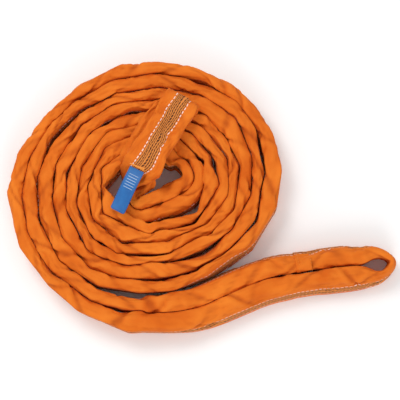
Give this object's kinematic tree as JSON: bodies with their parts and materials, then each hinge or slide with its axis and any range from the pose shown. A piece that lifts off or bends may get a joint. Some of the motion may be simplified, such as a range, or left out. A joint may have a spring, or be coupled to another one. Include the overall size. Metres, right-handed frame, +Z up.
{
  "type": "round sling",
  "caption": "Endless polyester round lifting sling, doubled and wound on edge into a flat coil, with one bight led out as a tail and the other laid back over the coil.",
  "frame": {"origin": "centre of the whole object's bottom, on the surface it lies on", "axes": "+X from the coil towards the tail, +Z up out of the surface the coil lies on"},
  "size_m": [0.7804, 0.5464, 0.1235],
  "materials": {
    "sleeve": "woven polyester tube, matt with a slight sheen",
    "core_yarn": "untwisted polyester yarn, matt",
    "stitching": "polyester thread, satin",
    "label": "coated woven tag, satin"
  },
  "bodies": {
    "coil": {"coil_sleeve_outer_leg": "sleeve", "coil_core_outer_leg": "core_yarn", "coil_sleeve_inner_leg": "sleeve", "coil_core_inner_leg": "core_yarn", "label_seam": "stitching"},
    "tail": {"tail_sleeve_outer_leg": "sleeve", "tail_core_outer_leg": "core_yarn", "tail_sleeve_inner_leg": "sleeve", "tail_core_inner_leg": "core_yarn"},
    "outer_bight": {"outer_bight_sleeve": "sleeve", "outer_bight_core": "core_yarn", "sleeve_joint_overlap": "sleeve", "sleeve_joint_stitch_row_1": "stitching", "sleeve_joint_stitch_row_2": "stitching"},
    "inner_bight": {"inner_bight_sleeve": "sleeve", "inner_bight_core": "core_yarn"},
    "label": {"label_tag": "label"}
  },
  "joints": [
    {"name": "tail_swing", "type": "hinge", "parent": "coil", "child": "tail", "pos_m": [0.069, -0.1935, 0.032], "axis": [0, 0, 1], "range_deg": [-18, 14]},
    {"name": "outer_bight_lift", "type": "hinge", "parent": "tail", "child": "outer_bight", "pos_m": [0.16, -0.163, 0.032], "axis": [0.1495, -0.9888, 0], "range_deg": [0, 44]},
    {"name": "inner_bight_lift", "type": "hinge", "parent": "coil", "child": "inner_bight", "pos_m": [-0.10647, 0.06765, 0.0998], "axis": [0.8738, -0.4863, 0], "range_deg": [0, 44]},
    {"name": "label_flap", "type": "hinge", "parent": "coil", "child": "label", "pos_m": [-0.12872, 0.04113, 0.10481], "axis": [-0.8408, 0.468, -0.2721], "range_deg": [0, 80]}
  ]
}
